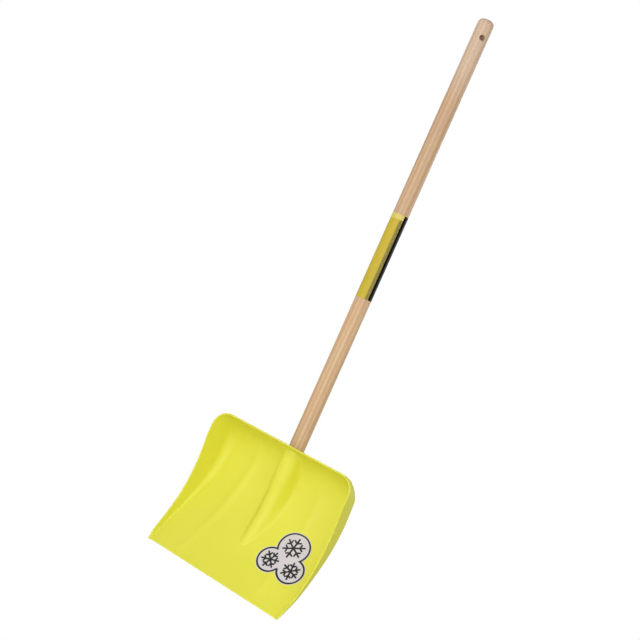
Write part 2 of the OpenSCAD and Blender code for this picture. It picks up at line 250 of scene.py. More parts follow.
def grid_index(rows, columns, start=0):
    """Vertex numbers of a grid of points, row by row."""
    return start + np.arange(rows * columns).reshape(rows, columns)


def joined(*surfaces):
    """Points and faces of several surfaces as one pair."""
    starts = np.cumsum([0] + [len(p) for p, _ in surfaces[:-1]])
    points = np.concatenate([p for p, _ in surfaces])
    return points, np.concatenate([f + s for s, (_, f) in zip(starts, surfaces)])


def make_mesh(name, points, faces, sharp=35, flat=None, shares=None):
    """A mesh from arrays, with flat places as a UV map and shares as point attributes.
    It is welded where points meet, and smooth but for edges sharper than an angle in degrees."""
    mesh = bpy.data.meshes.new(name)
    mesh.from_pydata(points.tolist(), [], faces.tolist())
    if flat is not None:
        layer = mesh.uv_layers.new(name="flat")
        layer.data.foreach_set("uv", flat[faces.ravel()].astype(np.float32).ravel())
    for key, values in (shares or {}).items():
        layer = mesh.attributes.new(key, "FLOAT", "POINT")
        layer.data.foreach_set("value", values.astype(np.float32))
    bm = bmesh.new()
    bm.from_mesh(mesh)
    bmesh.ops.remove_doubles(bm, verts=bm.verts, dist=WELD)
    bmesh.ops.dissolve_degenerate(bm, edges=bm.edges, dist=WELD)
    bm.to_mesh(mesh)
    bm.free()
    mesh.validate()
    mesh.polygons.foreach_set("use_smooth", np.ones(len(mesh.polygons), bool))
    mesh.set_sharp_from_angle(angle=math.radians(sharp))
    return mesh


def make_piece(name, mesh, material, node):
    """An object at the origin that rides on the body, with its CAD node hidden."""
    mesh.materials.append(material)
    piece = bpy.data.objects.new(name, mesh)
    bpy.context.scene.collection.objects.link(piece)
    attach(piece, BODY)
    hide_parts(node)
    return piece


def smooth(t):
    """A smooth step from 0 to 1."""
    t = np.clip(t, 0, 1)
    return t * t * (3 - 2 * t)


def unit(vectors):
    """Vectors scaled to a length of 1."""
    return vectors / np.linalg.norm(vectors, axis=-1, keepdims=True)


def turned_profile(profile, columns):
    """Points and faces of a profile of radius and height turned round the Z axis."""
    turn = np.linspace(0, 2 * np.pi, columns + 1)
    radius, height = profile[:, :1], profile[:, 1:]
    points = np.stack([radius * np.cos(turn), radius * np.sin(turn), height + 0 * turn], -1)
    return points.reshape(-1, 3), quads_of(grid_index(len(profile), columns + 1))


def arc(centre, radius, start, end, steps):
    """Points of an arc in a plane, with its angles in degrees."""
    turn = np.radians(np.linspace(start, end, steps + 1))
    return np.stack([centre[0] + radius * np.cos(turn), centre[1] + radius * np.sin(turn)], -1)


# The scoop
class BladeForm:
    """Shape of the moulded scoop by formula: x sideways, y back and h up from the bottom edge."""

    # Rows and columns of the sheet's grids, and the least length of the ridge's half section
    side_rows = 110
    corner_rows = 24
    wall_columns = 36
    foot_columns = 20
    face_columns = 56
    ridge_columns = 28
    ridge_least = 10 * MM
    # The rounded edge: steps of each round, room left for it on the walls, and how it shrinks at the corners
    edge_steps = 4
    edge_gap = 1.8 * MM
    gap_share = 0.7
    corner_fade = 12 * MM
    corner_share = 0.1
    # The ribs' fades: length of the lower one, reach above the deepest line, and length of the upper one
    rib_start = 22 * MM
    rib_past = 34 * MM
    rib_fade = 30 * MM
    # Steps and columns of the turned socket and boss
    end_steps = 12
    socket_columns = 96
    boss_columns = 48

    def __init__(self, sizes):
        self.s = sizes
        self.top = sizes.blade_height - sizes.sheet
        self.corner = sizes.corner_radius - sizes.sheet
        self.deep = self.top - sizes.curl_radius
        self.rim_y = sizes.face_back - sizes.curl_radius
        self.break_h = self.deep - sizes.upper_radius * math.sin(sizes.break_angle)
        self.break_y = sizes.face_back - sizes.upper_radius * (1 - math.cos(sizes.break_angle))

    def face_y(self, h):
        """Depth of the face: an upper arc, upright at the deepest line, and a flatter arc tangent to it."""
        s = self.s
        drop = np.clip(self.deep - h, 0, s.upper_radius)
        upper = s.face_back - s.upper_radius + np.sqrt(s.upper_radius ** 2 - drop ** 2)
        fall = s.lower_radius * math.sin(s.break_angle) + np.maximum(self.break_h - h, 0)
        middle = self.break_y - s.lower_radius * math.cos(s.break_angle)
        return np.where(h >= self.break_h, upper, middle + np.sqrt(s.lower_radius ** 2 - fall ** 2))

    def face_lean(self, h):
        """Lean of the face from the upright: the angle of the arc at that height."""
        s = self.s
        upper = np.clip(self.deep - h, 0, s.upper_radius) / s.upper_radius
        lower = math.sin(s.break_angle) + np.maximum(self.break_h - h, 0) / s.lower_radius
        return np.arcsin(np.where(h >= self.break_h, upper, lower))

    def wall_rise(self, h):
        """Rise of the walls above the face: up to the rim, which bends forward below, swells near the
        upper corner and sinks in a smooth step just above the bottom edge."""
        s = self.s
        below = np.clip(s.bend_height - h, 0, s.bend_radius)
        bend = s.bend_radius - np.sqrt(s.bend_radius ** 2 - below ** 2)
        off = np.clip((h - s.blade_height + s.rise_drop) / s.rise_reach, -1, 1)
        swell = s.corner_rise * (1 + np.cos(np.pi * off)) / 2
        rise = np.maximum(s.lip_height, self.face_y(h) - self.rim_y + bend + swell)
        return rise * (s.lip_end + (1 - s.lip_end) * smooth(h / s.lip_fade))

    def rim_x(self, h):
        """Half width inside the rim, drawn in by a parabola towards the bottom edge."""
        s = self.s
        draw = np.maximum(0, 1 - h / s.draw_in_height) ** 2
        return s.rim_width / 2 - s.sheet - (s.rim_width - s.edge_width) / 2 * draw

    def foot_arc(self, h):
        """Radius at the foot of the wall, which grows with the square of the height."""
        s = self.s
        share = np.minimum(1, h / self.deep) ** 2
        radius = s.low_foot_radius + (s.foot_radius - s.low_foot_radius) * share
        return np.minimum(radius, self.wall_rise(h))

    def side_section(self, h, columns):
        """Out and up along the wall's section: an arc off the face and then a straight leaning wall,
        whose last step leaves room for the rounded edge."""
        turn = math.pi / 2 - self.s.wall_draft
        h, k = h[:, None], columns[None, :]
        radius, rise = self.foot_arc(h), self.wall_rise(h)
        bent = turn * np.minimum(k / self.foot_columns, 1)
        straight = np.clip((k - self.foot_columns) / (self.wall_columns - 1 - self.foot_columns), 0, 1)
        left = rise - radius * (1 - math.cos(turn))
        gap = np.minimum(self.edge_gap, self.gap_share * left)
        left = (left - gap) * straight + gap * (k == self.wall_columns)
        return radius * np.sin(bent) + left / math.tan(turn), radius * (1 - np.cos(bent)) + left

    def wall_grid(self):
        """Left wall as a grid of x, y and h: rows up the side and round the corner, columns from foot
        to rim. The straight section turns smoothly into the curl's quarter circle round the corner."""
        s = self.s
        columns = np.arange(self.wall_columns + 1)
        side = np.linspace(0, 1, self.side_rows + 1)
        turn = np.linspace(0, np.pi / 2, self.corner_rows + 1)[1:]

        def outline(half_width, radius, top):
            straight = (top - radius) * side
            edge = half_width(np.array([top - radius]))[0]
            x = np.concatenate([half_width(straight), edge - radius * (1 - np.cos(turn))])
            return x, np.concatenate([straight, top - radius + radius * np.sin(turn)])

        def foot_x(h):
            return self.rim_x(h) - self.side_section(h, columns[-1:])[0][:, 0]

        rim_x, rim_h = outline(self.rim_x, self.corner, self.top)
        foot_x, foot_h = outline(foot_x, s.foot_corner, self.deep)
        out, up = self.side_section(rim_h, columns)
        out = out / out[:, -1:]
        curl = np.pi / 2 * columns / self.wall_columns
        share = np.concatenate([0 * side, smooth(np.linspace(0, 1, self.corner_rows + 1)[1:])])[:, None]
        out = out * (1 - share) + np.sin(curl) * share
        up = up * (1 - share) + self.wall_rise(rim_h)[:, None] * (1 - np.cos(curl)) * share
        x = foot_x[:, None] + (rim_x - foot_x)[:, None] * out
        h = foot_h[:, None] + (rim_h - foot_h)[:, None] * out
        return np.stack([-x, self.face_y(h) - up, h], -1)

    def rib(self, x, h):
        """Height of the soft ribs: a bell-shaped rise each side, spreading downwards, faded at both ends."""
        s = self.s
        place = s.rib_low + (s.rib_top - s.rib_low) * h / self.deep
        bell = np.exp(-((np.abs(x) - place) / s.rib_width) ** 2)
        fade = smooth(h / self.rib_start) * smooth((self.deep + self.rib_past - h) / self.rib_fade)
        return s.rib_height * bell * fade

    def ridge_half(self, plane_y, h):
        """Half section of the ridge in each row, from its crest to the sheet, at even steps along it: an
        arc, a straight flank and a fillet, then on along the sheet to a least length. The crest stays at
        the socket's front down to the crest height, and below it falls to the tip by a power of the way."""
        s = self.s
        share = np.clip((h - s.tip_height) / (s.crest_height - s.tip_height), 0, 1)
        grown = smooth(share)
        full = s.ridge_radius + self.face_y(np.array(s.crest_height))
        height = np.where(h < s.crest_height, full * share ** s.ridge_fullness,
                          np.maximum(plane_y + s.ridge_radius, 0))
        radius = s.tip_round + (s.ridge_radius - s.tip_round) * grown
        fillet = s.tip_fillet + (s.ridge_fillet - s.tip_fillet) * grown
        steep = smooth((h - s.slope_height) / (self.deep - s.slope_height))
        slope = s.flank_slope + (s.socket_slope - s.flank_slope) * steep
        turn = np.arccos(np.clip(1 - height / (radius + fillet), np.cos(slope), 1))
        drop = np.maximum(height - (radius + fillet) * (1 - np.cos(turn)), 0)
        base = (radius + fillet) * np.sin(turn) + drop / np.tan(slope)
        lengths = [radius * turn, drop / np.sin(slope), fillet * turn]
        flat = np.maximum(self.ridge_least - sum(lengths), 0)
        step = np.linspace(0, 1, self.ridge_columns + 1)[None, :] * (sum(lengths) + flat)[:, None]
        radius, crest, base, plane, fillet, turn = (
            v[:, None] for v in (radius, plane_y - height, base, plane_y, fillet, turn))
        round_len, flank_len, fillet_len = (v[:, None] for v in lengths)
        on_arc = np.minimum(step, round_len) / radius
        on_flank = np.clip(step - round_len, 0, flank_len)
        x = radius * np.sin(on_arc) + on_flank * np.cos(turn)
        y = crest + radius * (1 - np.cos(on_arc)) + on_flank * np.sin(turn)
        past = step - round_len - flank_len
        bend = turn - np.clip(past, 0, fillet_len) / fillet
        x = np.where(past > 0, base - fillet * np.sin(bend), x)
        y = np.where(past > 0, plane - fillet * (1 - np.cos(bend)), y)
        return x + np.maximum(past - fillet_len, 0), np.where(past >= fillet_len, plane, y)

    def surface(self):
        """Points and faces of the closed sheet.
        The front is the face with its ridge and ribs, the curl above it and a wall either side.
        The back lies one sheet behind all of it, and a rounded edge joins the two."""
        s = self.s
        mirror = [-1, 1, 1]
        wall = self.wall_grid()
        rows, across = wall.shape[:2]
        half, row_y, row_h = (np.concatenate([wall[:, 0], wall[-1, 1:]]) * mirror).T
        ridge_x, ridge_y = self.ridge_half(row_y, row_h)
        spread = np.linspace(0, 1, self.face_columns + 1)[1:]
        outer = ridge_x[:, -1:]
        face_x = outer + (half[:, None] - outer) * spread
        x = np.concatenate([ridge_x, face_x], 1)
        y = np.concatenate([ridge_y, row_y[:, None] + 0 * face_x], 1)
        h = row_h[:, None] + 0 * x
        face = np.stack([x, y - self.rib(x, h), h], -1)
        face = np.concatenate([face[:, :0:-1] * mirror, face], 1)
        left = wall[:-1, 1:].reshape(-1, 3)
        front = np.concatenate([face.reshape(-1, 3), left, left * mirror])

        middle = grid_index(*face.shape[:2])
        walls = []
        for side, column in ((0, 0), (1, -1)):
            index = np.empty((rows, across), int)
            index[:, 0] = middle[:rows, column]
            index[-1, :] = middle[rows - 1:, column]
            index[:-1, 1:] = grid_index(rows - 1, across - 1, middle.size + side * len(left))
            walls.append(index)
        faces = np.concatenate([quads_of(middle), quads_of(walls[0], turned=True), quads_of(walls[1])])
        back = front - s.sheet * vertex_normals(front, faces)
        return self.with_rounded_edge(front, back, faces, *self.edge_ring(middle, walls))

    def edge_ring(self, middle, walls):
        """Vertex numbers round the sheet's edge, of the neighbours inside it and of the two bottom corners:
        up the left rim, along the top, down the right rim and back along the bottom edge."""
        left, right = walls
        ring, inner = (np.concatenate([
            left[:, rim], middle[rim, 1:], right[-2::-1, rim],
            right[low, -2::-1], middle[low, -2::-1], left[low, 1:-1]]) for rim, low in ((-1, 0), (-2, 1)))
        corners = left[0, -1], right[0, -1]
        for corner, wall in zip(corners, walls):
            inner[ring == corner] = wall[1, -2]
        return ring, inner, corners

    def with_rounded_edge(self, front, back, faces, ring, inner, corners):
        """Closes front and back with an edge of two quarter rounds, set in so that the sheet keeps its
        outline. The rounds shrink towards the two bottom corners."""
        far = np.min([np.linalg.norm(front[ring] - front[c], axis=1) for c in corners], 0)
        share = self.corner_share + (1 - self.corner_share) * smooth(far / self.corner_fade)
        radius = self.s.rim_round * share[:, None]
        normal = unit(front[ring] - back[ring])
        ahead = unit(np.roll(front[ring], -1, 0) - front[ring])
        outward = unit(np.cross(ahead + np.roll(ahead, 1, 0), normal))
        outward *= np.sign(np.sum(outward * (front[ring] - front[inner]), 1, keepdims=True))
        turn = np.linspace(0, np.pi / 2, self.edge_steps + 1)
        rounds = []
        for start, side in ((front[ring], 1), (back[ring], -1)):
            middle = start - radius * outward - side * radius * normal
            bends = turn if side == 1 else turn[::-1]
            rounds += [middle + radius * (side * np.cos(a) * normal + np.sin(a) * outward) for a in bends]
        front, back = front.copy(), back.copy()
        front[ring], back[ring] = rounds[0], rounds[-1]
        count = len(front)
        strip = np.array(rounds[1:-1])
        index = grid_index(len(strip), len(ring), 2 * count)
        index = np.concatenate([ring[None], index, ring[None] + count])
        index = np.concatenate([index, index[:, :1]], 1)
        points = np.concatenate([front, back, strip.reshape(-1, 3)])
        return points, np.concatenate([faces, faces[:, ::-1] + count, quads_of(index)])

    def socket(self):
        """Points and faces of the socket's tube, a turned profile: a closed rounded end, the outer wall, a
        rounded mouth and the bore."""
        s, lip = self.s, self.s.rim_round
        radius = s.ridge_radius - s.socket_inset
        end = s.seat_height - s.socket_floor
        profile = np.concatenate([
            [[0, end]],
            arc((radius - s.socket_round, end + s.socket_round), s.socket_round, -90, 0, self.end_steps),
            arc((radius - lip, s.mouth_height - lip), lip, 0, 90, self.edge_steps),
            arc((s.bore_radius + lip, s.mouth_height - lip), lip, 90, 180, self.edge_steps),
            [[s.bore_radius, s.seat_height], [0, s.seat_height]],
        ])
        return turned_profile(profile, self.socket_columns)

    def boss(self):
        """Points and faces of the boss under the screw's head, a turned profile laid along Y."""
        s, lip = self.s, self.s.rim_round / 2
        profile = np.concatenate([
            [[0, 0], [s.boss_radius, 0]],
            arc((s.boss_radius - lip, s.boss_back - lip), lip, 0, 90, self.edge_steps),
            [[0, s.boss_back]],
        ])
        points, faces = turned_profile(profile, self.boss_columns)
        return points[:, [0, 2, 1]] * [-1, 1, 1] + [0, 0, s.boss_height], faces


def vertex_normals(points, faces):
    """Normals at the points: the sum of the crossed diagonals of the faces round each point."""
    first, second, third, fourth = points[faces.T]
    crossed = np.cross(third - first, fourth - second)
    total = np.zeros_like(points)
    for corner in range(4):
        np.add.at(total, faces[:, corner], crossed)
    return unit(total)


# The handle
class HandleForm:
    """Shape of the handle: a straight round rod with a rounded top and a drilled, sanded hang hole."""

    # Columns across a hole's window and beside it, the window's half turn and half height, and its first
    # corner in degrees
    window_columns = 24
    side_columns = 36
    window_turn = 0.75
    window_half = 9 * MM
    first_corner = -135
    ring_steps = 8
    straight_rows = 40
    end_steps = 12

    def __init__(self, sizes):
        self.s = sizes
        self.ahead = np.array([math.sin(sizes.hang_turn), -math.cos(sizes.hang_turn), 0])
        self.aside = np.array([math.cos(sizes.hang_turn), math.sin(sizes.hang_turn), 0])

    def place(self, turn, z, radius):
        """A point at a turn from the hole's direction, a height and a radius."""
        turn, z, radius = np.broadcast_arrays(turn, z, radius)
        spot = radius * np.cos(turn), radius * np.sin(turn)
        return spot[0][..., None] * self.ahead + spot[1][..., None] * self.aside + z[..., None] * [0, 0, 1]

    def rod_grid(self, rows, turns):
        """A stretch of the rod from rows of radius and height."""
        points = self.place(turns[None, :], rows[:, 1:], rows[:, :1])
        return points.reshape(-1, 3), quads_of(grid_index(len(rows), len(turns)))

    def window(self, side):
        """Square of the rod's surface round one mouth of the hole, with the hole's edge and half of its wall.
        Points run from a circle on the surface out to the square; the mouth's edge is a small chamfer."""
        s, n = self.s, self.window_columns
        mouth = s.hang_radius + s.hole_chamfer
        step = np.arange(4 * n + 1) / n
        square = np.stack([np.interp(step, range(5), (-1, 1, 1, -1, -1)) * self.window_turn,
                           np.interp(step, range(5), (-1, -1, 1, 1, -1)) * self.window_half], -1)
        way = np.radians(self.first_corner + 90 * step)
        circle = np.stack([np.arcsin(mouth * np.cos(way) / s.radius), mouth * np.sin(way)], -1)
        share = np.linspace(1, 0, self.ring_steps + 1)[:, None, None]
        flat = circle + (square - circle) * share
        skin = self.place(flat[..., 0] + side * np.pi, flat[..., 1], s.radius)

        def wall_ring(depth):
            across = s.hang_radius * np.cos(way)
            ahead = np.sqrt(s.radius ** 2 - across ** 2) * depth[0] - depth[1]
            turn = 1 - 2 * side
            return turn * (ahead[:, None] * self.ahead + across[:, None] * self.aside) \
                + (s.hang_radius * np.sin(way))[:, None] * [0, 0, 1]

        rings = [wall_ring((1, s.hole_chamfer)), wall_ring((0.5, 0)), wall_ring((0, 0))]
        points = np.concatenate([skin, np.array(rings)])
        return points.reshape(-1, 3), quads_of(grid_index(*points.shape[:2]))

    def surface(self):
        """Points and faces of the whole handle: turned profiles below and above the hole, plain stretches
        beside it and a square window round either mouth."""
        s, half = self.s, self.window_turn
        ends = [-half, half, np.pi - half, np.pi + half, 2 * np.pi - half]
        steps = [self.window_columns, self.side_columns] * 2
        spans = [np.linspace(a, b, n + 1) for a, b, n in zip(ends, ends[1:], steps)]
        turns = np.concatenate([spans[0]] + [span[1:] for span in spans[1:]])
        low = np.concatenate([
            [[0, s.bottom], [s.radius - s.lead_in, s.bottom], [s.radius, s.bottom + s.lead_in]],
            np.stack([np.full(self.straight_rows, s.radius),
                      np.linspace(s.bottom + s.lead_in, -self.window_half, self.straight_rows + 1)[1:]], -1)])
        high = np.concatenate([
            [[s.radius, self.window_half]],
            arc((s.radius - s.end_radius, s.top - s.end_radius), s.end_radius, 0, 90, self.end_steps),
            [[0, s.top]]])
        beside = np.stack([np.full(self.window_columns + 1, s.radius),
                           np.linspace(-self.window_half, self.window_half, self.window_columns + 1)], -1)
        return joined(self.rod_grid(low, turns), self.rod_grid(high, turns),
                      self.rod_grid(beside, spans[1]), self.rod_grid(beside, spans[3]),
                      self.window(0), self.window(1))


# The label and the sticker
def label_surface(sizes, radius):
    """Points, faces and flat places of the label: a thin tube round the handle, with an inner skin.
    The flat places are the turn from straight ahead and the height below the upper end."""
    turn = np.linspace(-np.pi, np.pi, LABEL_COLUMNS + 1)
    low, middle, high = np.linspace(LABEL_LOW.z, LABEL_HIGH.z, 3)
    inner = radius - sizes.film
    rows = np.array([(inner, low), (radius, low), (radius, middle), (radius, high),
                     (inner, high), (inner, middle), (inner, low)])
    far, height = rows[:, :1], rows[:, 1:] + 0 * turn
    points = np.stack([far * np.sin(turn), -far * np.cos(turn), height], -1)
    flat = np.stack([turn + 0 * far, LABEL_HIGH.z - height], -1)
    return points.reshape(-1, 3), quads_of(grid_index(*height.shape)), flat.reshape(-1, 2)


class StickerForm:
    """Shape and print of the sticker: three round lobes, laid on the scoop's face."""

    # Rings and spokes of the skins, drop of their middle, and radius of the core between the lobes
    rings = 115
    back_rings = 30
    spokes = 640
    centre_drop = 6.5 * MM
    core_radius = 20 * MM
    # The print: width of its soft edge, the crystals' share of their lobes, and their barbs
    soft_edge = 0.3 * MM
    crystal_share = 0.62
    crystal_turns = (np.pi / 2, 0.3, 0.75)
    barb_place = 0.55
    barb_length = 0.34
    barb_lean = np.pi / 3

    def __init__(self, sizes, blade):
        self.s = sizes
        self.blade = BladeForm(blade)
        self.lobes = [
            (0, sizes.lobe_rise, sizes.lobe_radius),
            (-sizes.lobe_spread, -sizes.lobe_drop, sizes.small_lobe_radius),
            (sizes.lobe_spread, -sizes.lobe_drop, sizes.small_lobe_radius)]

    def outline(self, way):
        """Distance from the middle to the cut edge: the farthest of the three circles in that direction."""
        far = []
        for x, y, radius in self.lobes:
            y = y + self.centre_drop
            along = x * np.cos(way) + y * np.sin(way)
            far.append(along + np.sqrt(radius ** 2 - x ** 2 - y ** 2 + along ** 2))
        return np.max(far, 0)

    def inset(self, x, y):
        """Distance inside the cut edge: the most that any lobe, or the core between them, holds the point."""
        circles = self.lobes + [(0, -self.centre_drop, self.core_radius)]
        return np.max([r - np.hypot(x - a, y - b) for a, b, r in circles], 0)

    def crystal(self, x, y, middle, reach, turn):
        """Distance to a snow crystal: six arms, each with a pair of barbs at 60 degrees."""
        x, y = x - middle[0], y - middle[1]
        way = np.mod(np.arctan2(y, x) - turn + np.pi / 6, np.pi / 3) - np.pi / 6
        along, aside = np.hypot(x, y) * np.cos(way), np.abs(np.hypot(x, y) * np.sin(way))
        near = np.hypot(np.maximum(along - reach, 0), aside)
        cos, sin = math.cos(self.barb_lean), math.sin(self.barb_lean)
        past = along - self.barb_place * reach
        ahead, off = past * cos + aside * sin, aside * cos - past * sin
        return np.minimum(near, np.hypot(ahead - np.clip(ahead, 0, self.barb_length * reach), off))

    def print_of(self, x, y):
        """Shares of ink and of pale fill: a border line, and a crystal in each lobe."""
        line, margin = self.s.line, self.s.margin

        def inside(distance):
            return smooth(distance / self.soft_edge + 0.5)

        inset = self.inset(x, y)
        border = inside(inset - margin) * inside(margin + line - inset)
        near = np.min([self.crystal(x, y, (a, b), self.crystal_share * r, turn)
                       for (a, b, r), turn in zip(self.lobes, self.crystal_turns)], 0)
        return np.maximum(border, inside(line / 2 - near)), inside(inset - margin - line)

    def skin(self, rings, lift):
        """Points and print of one skin of the film: rings of points from the middle to the cut edge,
        carried on to the face by its own curve and ribs and lifted off it."""
        s, blade = self.s, self.blade
        way = np.linspace(0, 2 * np.pi, self.spokes + 1)
        share = np.linspace(0, 1, rings + 1)[:, None]
        x = share * self.outline(way) * np.cos(way)
        y = share * self.outline(way) * np.sin(way) - self.centre_drop
        h = s.middle_height + y * np.cos(blade.face_lean(np.array(s.middle_height)))
        face = np.stack([s.middle_x + x, blade.face_y(h) - blade.rib(s.middle_x + x, h), h], -1)
        normal = np.stack([0 * x, -np.cos(blade.face_lean(h)), np.sin(blade.face_lean(h))], -1)
        return face + lift * normal, np.stack(self.print_of(x, y), -1)

    def surface(self):
        """Points, faces and print of the film: an upper and a lower skin, and the cut edge between them."""
        s = self.s
        upper, upper_print = self.skin(self.rings, s.adhesive + s.film)
        lower, lower_print = self.skin(self.back_rings, s.adhesive)
        top = grid_index(*upper.shape[:2])
        bottom = grid_index(*lower.shape[:2], top.size)
        edge = np.stack([top[-1], bottom[-1]])
        points = np.concatenate([upper.reshape(-1, 3), lower.reshape(-1, 3)])
        faces = np.concatenate([quads_of(top, True), quads_of(bottom), quads_of(edge, True)])
        shares = np.concatenate([upper_print.reshape(-1, 2), lower_print.reshape(-1, 2)])
        return points, faces, {"ink": shares[:, 0], "pale": shares[:, 1]}


# Materials
def add_node(tree, kind, inputs=None, **settings):
    """Adds a node with its settings. Inputs are values for its sockets, or what links to them: another
    node's output, or another node for its first output in use."""
    node = tree.nodes.new("ShaderNode" + kind)
    for name, value in settings.items():
        setattr(node, name, value)
    for name, value in (inputs or {}).items():
        if isinstance(value, bpy.types.Node):
            value = next(socket for socket in value.outputs if socket.enabled)
        if isinstance(value, bpy.types.NodeSocket):
            tree.links.new(value, node.inputs[name])
        else:
            node.inputs[name].default_value = value
    return node


def empty_tree(owner):
    """The emptied node tree of a material or world."""
    owner.use_nodes = True
    owner.node_tree.nodes.clear()
    return owner.node_tree


def material_of(finish, *sizes):
    """A material named for its finish: a function that adds its nodes and gives the surface's inputs."""
    material = bpy.data.materials.new(finish.__name__)
    tree = empty_tree(material)
    place = add_node(tree, "TexCoord").outputs["Object"]
    surface = add_node(tree, "BsdfPrincipled", finish(tree, place, *sizes))
    add_node(tree, "OutputMaterial", {"Surface": surface})
    return material


def opaque(rgb):
    """A colour with full alpha."""
    return (*rgb, 1.0)


def moulded_polypropylene(tree, place, sizes):
    """Injection-moulded polypropylene, coloured through: satin, with a fine spark-eroded grain from the mould
    and faint cloudy flow in the colour. The grain is drawn at 1.5 mm, coarser than real, so that it shows."""
    cloud = add_node(tree, "TexNoise", {"Vector": place, "Scale": 1 / (60 * MM), "Detail": 3.0})
    grain = add_node(tree, "TexNoise", {"Vector": place, "Scale": 1 / (1.5 * MM), "Roughness": 0.6})
    base = np.array(sizes.plastic)
    tint = add_node(tree, "Mix", {
        0: cloud, 6: opaque(base * 0.965), 7: opaque(np.minimum(base * 1.03, 1))}, data_type="RGBA")
    rough = add_node(tree, "MapRange", {"Value": grain, "To Min": 0.44, "To Max": 0.56})
    bump = add_node(tree, "Bump", {"Height": grain, "Strength": 0.12, "Distance": 0.05 * MM})
    return {"Base Color": tint, "Roughness": rough, "IOR": 1.49, "Normal": bump}


def turned_beech(tree, place, sizes):
    """Turned and sanded beech under thin lacquer: long pale and darker streaks where the rod cuts the
    growth rings, a pinkish blush in places, fine fibres along it, short dark flecks, a slow drift to a
    darker upper half and a paler tone over the top end."""
    # Width and length in millimetres, detail and roughness of the noises that are stretched along the stick
    grain = {}
    for name, width, along, detail, roughness in (
            ("bend", 100 / 3, 500 / 3, 2.0, 0.5), ("fibre", 0.8, 45, 3.0, 0.6),
            ("fleck", 0.7, 4, 1.0, 0.5), ("blush", 5, 70, 2.0, 0.5)):
        across = 1 / (width * MM)
        stretched = add_node(tree, "Mapping", {"Vector": place, "Scale": (across, across, 1 / (along * MM))})
        grain[name] = add_node(tree, "TexNoise", {
            "Vector": stretched, "Scale": 1.0, "Detail": detail, "Roughness": roughness})
    # The tree's heart lies outside the stick and leans a little from it
    tilted = add_node(tree, "Mapping", {
        "Vector": place, "Location": (38 * MM, 17 * MM, 0),
        "Rotation": (math.radians(0.7), math.radians(-0.5), 0)})
    flat = add_node(tree, "VectorMath", {0: tilted, 1: (1, 1, 0)}, operation="MULTIPLY")
    far = add_node(tree, "VectorMath", {0: flat}, operation="LENGTH")
    rings = add_node(tree, "Math", {0: far, 1: 1 / (3.2 * MM), 2: grain["bend"]}, operation="MULTIPLY_ADD")
    ring = add_node(tree, "Math", {0: rings, 1: 1.0}, operation="PINGPONG")
    streak = add_node(tree, "Math", {0: grain["fibre"], 1: 0.9, 2: ring}, operation="MULTIPLY_ADD")
    height = add_node(tree, "SeparateXYZ", {0: place}).outputs["Z"]
    # Each layer over the pale wood: what it follows, from where to where, its most, colour and blend
    tone = opaque(sizes.pale)
    for measure, low, high, most, over, blend in (
            (grain["blush"], 0.35, 0.65, 1.0, sizes.rosy, "MIX"),
            (streak, 0.45, 1.45, 1.0, sizes.dark, "MIX"),
            (grain["fleck"], 0.66, 0.74, 0.6, sizes.fleck, "MIX"),
            (height, -500 * MM, -150 * MM, 1.0, sizes.upper_tint, "MULTIPLY"),
            # The top end, mixed a little towards a paler tone by height
            (height, -110 * MM, -50 * MM, 0.17, sizes.paler_top_end, "MIX")):
        share = add_node(tree, "MapRange", {
            "Value": measure, "From Min": low, "From Max": high, "To Max": most})
        tone = add_node(tree, "Mix", {0: share, 6: tone, 7: opaque(over)}, data_type="RGBA", blend_type=blend)
    rough = add_node(tree, "MapRange", {"Value": grain["fibre"], "To Min": 0.42, "To Max": 0.6})
    bump = add_node(tree, "Bump", {"Height": grain["fibre"], "Strength": 0.2, "Distance": 0.08 * MM})
    return {"Base Color": tone, "Roughness": rough, "IOR": 1.5, "Normal": bump}


def printed_label_film(tree, place, sizes, radius):
    """Printed film, satin: a yellow field with a pale band, a strip of slanting hatched lines, and a
    black field."""
    flat = add_node(tree, "SeparateXYZ", {0: add_node(tree, "UVMap", uv_map="flat")})
    turn, drop = flat.outputs["X"], flat.outputs["Y"]
    slant = add_node(tree, "Math", {0: turn, 1: -radius, 2: drop}, operation="MULTIPLY_ADD")
    lines = add_node(tree, "Math", {0: slant, 1: sizes.hatch / 2}, operation="PINGPONG")
    inks = ("field", "pale_field", "hatch_dark", "hatch_light", "black")
    paint = {name: opaque(getattr(sizes, name)) for name in inks}
    # Each part of the print: the measure that splits it, where, and what lies before and past that edge
    for name, measure, edge, before, past in (
            ("hatched", lines, sizes.hatch / 4, "hatch_dark", "hatch_light"),
            ("yellow", drop, sizes.band, "pale_field", "field"),
            ("strip", drop, sizes.band, "pale_field", "hatched"),
            ("print", turn, sizes.strip_start, "yellow", "strip"),
            ("print", turn, sizes.strip_end, "print", "black"),
            ("print", turn, sizes.dark_end, "print", "yellow")):
        beyond = add_node(tree, "Math", {0: measure, 1: edge}, operation="GREATER_THAN")
        paint[name] = add_node(tree, "Mix", {0: beyond, 6: paint[before], 7: paint[past]}, data_type="RGBA")
    grain = add_node(tree, "TexNoise", {"Vector": place, "Scale": 1 / (3 * MM)})
    rough = add_node(tree, "MapRange", {"Value": grain, "To Min": 0.26, "To Max": 0.36})
    return {"Base Color": paint["print"], "Roughness": rough, "IOR": 1.5, "Specular IOR Level": 0.06}


def printed_silver_film(tree, place, sizes):
    """Silver-grey printed film: smooth and satin, with black lines and pale fills held by the mesh."""
    drawn = opaque(sizes.silver)
    for name in ("pale", "ink"):
        share = add_node(tree, "Attribute", attribute_name=name).outputs["Fac"]
        drawn = add_node(tree, "Mix", {0: share, 6: drawn, 7: opaque(getattr(sizes, name))}, data_type="RGBA")
    grain = add_node(tree, "TexNoise", {"Vector": place, "Scale": 1 / (2 * MM)})
    rough = add_node(tree, "MapRange", {"Value": grain, "To Min": 0.3, "To Max": 0.4})
    return {"Base Color": drawn, "Roughness": rough, "IOR": 1.5}


